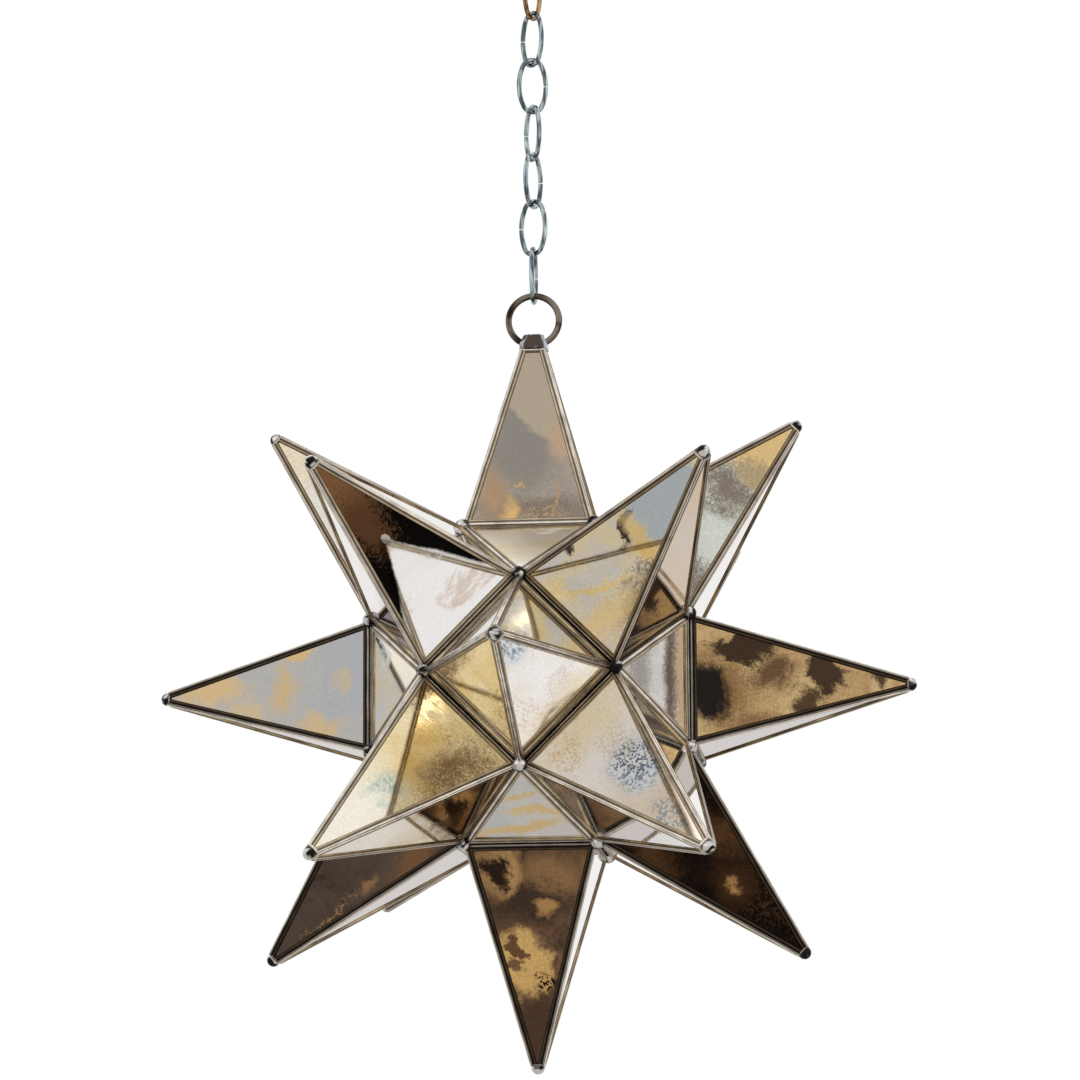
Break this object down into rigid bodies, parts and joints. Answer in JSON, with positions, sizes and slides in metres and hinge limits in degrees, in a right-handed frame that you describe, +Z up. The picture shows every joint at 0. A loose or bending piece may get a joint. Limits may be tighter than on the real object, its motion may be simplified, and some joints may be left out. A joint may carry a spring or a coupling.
{
  "type": "star pendant light",
  "caption": "Hanging star lantern of antiqued mirror panes in dark metal cames, on a chain from a ceiling canopy, with a bulb inside and a hinged rear point.",
  "frame": {"origin": "centre of the mounting bar's upper face, on the ceiling", "axes": "+Z up, front of the star towards -Y, mounting slots along X"},
  "size_m": [0.508, 0.508, 0.8252],
  "materials": {
    "came_bronze": "dark patinated, satin",
    "antique_mirror": "antiqued, mottled",
    "solder": "bright solder",
    "fitting_brass": "satin",
    "cap_metal": "polished",
    "bushing_plastic": "translucent",
    "ring_bronze": "dark, polished",
    "chain_nickel": "nickel plated",
    "canopy_brass": "antiqued, satin",
    "socket_ceramic": "glazed",
    "bulb_metal": "satin",
    "bulb_glass": "frosted",
    "zinc_steel": "zinc plated"
  },
  "bodies": {
    "ceiling_fitting": {"mounting_bar": "zinc_steel", "earth_screw": "zinc_steel", "canopy_nipple": "fitting_brass", "nipple_nut": "fitting_brass", "canopy": "canopy_brass", "canopy_loop": "canopy_brass"},
    "collar": {"collar_ring": "canopy_brass"},
    "link_1": {"chain_link_1": "canopy_brass"},
    "link_2": {"chain_link_2": "chain_nickel"},
    "link_3": {"chain_link_3": "chain_nickel"},
    "link_4": {"chain_link_4": "chain_nickel"},
    "link_5": {"chain_link_5": "chain_nickel"},
    "link_6": {"chain_link_6": "chain_nickel"},
    "link_7": {"chain_link_7": "chain_nickel"},
    "ring": {"hanging_ring": "ring_bronze"},
    "star": {"cames_front": "came_bronze", "cames_top": "came_bronze", "cames_bottom": "came_bronze", "cames_left": "came_bronze", "cames_right": "came_bronze", "cames_upper_left": "came_bronze", "cames_upper_right": "came_bronze", "cames_lower_left": "came_bronze", "cames_lower_right": "came_bronze", "cames_front_upper_left": "came_bronze", "cames_front_upper_right": "came_bronze", "cames_front_lower_left": "came_bronze", "cames_front_lower_right": "came_bronze", "cames_rear_upper_left": "came_bronze", "cames_rear_upper_right": "came_bronze", "cames_rear_lower_left": "came_bronze", "cames_rear_lower_right": "came_bronze", "panes_front": "antique_mirror", "panes_front_ring": "antique_mirror", "panes_belt": "antique_mirror", "panes_rear_ring": "antique_mirror", "flat_cames": "came_bronze", "flat_panes": "antique_mirror", "core_beads": "solder", "tip_beads": "solder", "frame_hinge_leaf": "fitting_brass", "hinge_pin": "fitting_brass", "top_cap": "cap_metal", "cord_bushing": "bushing_plastic", "stem_plate": "came_bronze", "stem": "fitting_brass", "stem_nut": "fitting_brass", "lamp_socket": "socket_ceramic", "socket_contact": "fitting_brass", "screw_shell": "bulb_metal"},
    "rear_door": {"door_cames": "came_bronze", "door_panes": "antique_mirror", "door_bead": "solder", "door_hinge_leaf": "fitting_brass"},
    "bulb": {"bulb_cap": "bulb_metal", "bulb_glass": "bulb_glass"}
  },
  "joints": [
    {"name": "collar_turn", "type": "hinge", "parent": "ceiling_fitting", "child": "collar", "pos_m": [0, 0, -0.0313], "axis": [0, 0, 1], "continuous": true},
    {"name": "link_1_swing", "type": "hinge", "parent": "ceiling_fitting", "child": "link_1", "pos_m": [0, 0, -0.0693], "axis": [0.8829, -0.4695, 0], "range_deg": [-30, 30]},
    {"name": "link_2_swing", "type": "hinge", "parent": "link_1", "child": "link_2", "pos_m": [0, 0, -0.10215], "axis": [0.4695, 0.8829, 0], "range_deg": [-30, 30]},
    {"name": "link_3_swing", "type": "hinge", "parent": "link_2", "child": "link_3", "pos_m": [0, 0, -0.13565], "axis": [-0.7547, 0.6561, 0], "range_deg": [-30, 30]},
    {"name": "link_4_swing", "type": "hinge", "parent": "link_3", "child": "link_4", "pos_m": [0, 0, -0.16915], "axis": [-0.9563, -0.2924, 0], "range_deg": [-30, 30]},
    {"name": "link_5_swing", "type": "hinge", "parent": "link_4", "child": "link_5", "pos_m": [0, 0, -0.20265], "axis": [0.5592, -0.829, 0], "range_deg": [-30, 30]},
    {"name": "link_6_swing", "type": "hinge", "parent": "link_5", "child": "link_6", "pos_m": [0, 0, -0.23615], "axis": [0.454, 0.891, 0], "range_deg": [-30, 30]},
    {"name": "link_7_swing", "type": "hinge", "parent": "link_6", "child": "link_7", "pos_m": [0, 0, -0.26965], "axis": [-0.9135, 0.4067, 0], "range_deg": [-30, 30]},
    {"name": "ring_swing", "type": "hinge", "parent": "link_7", "child": "ring", "pos_m": [0, 0, -0.30315], "axis": [-0.0523, -0.9986, 0], "range_deg": [-30, 30]},
    {"name": "star_swing", "type": "hinge", "parent": "ring", "child": "star", "pos_m": [0, 0, -0.33143], "axis": [1, 0, 0], "range_deg": [-20, 20]},
    {"name": "rear_door_hinge", "type": "hinge", "parent": "star", "child": "rear_door", "pos_m": [-0.03217, 0.10984, -0.53904], "axis": [0.7071, 0, 0.7071], "range_deg": [0, 65]},
    {"name": "bulb_turn", "type": "hinge", "parent": "star", "child": "bulb", "pos_m": [0, 0, -0.51036], "axis": [0, 0, 1], "continuous": true}
  ]
}
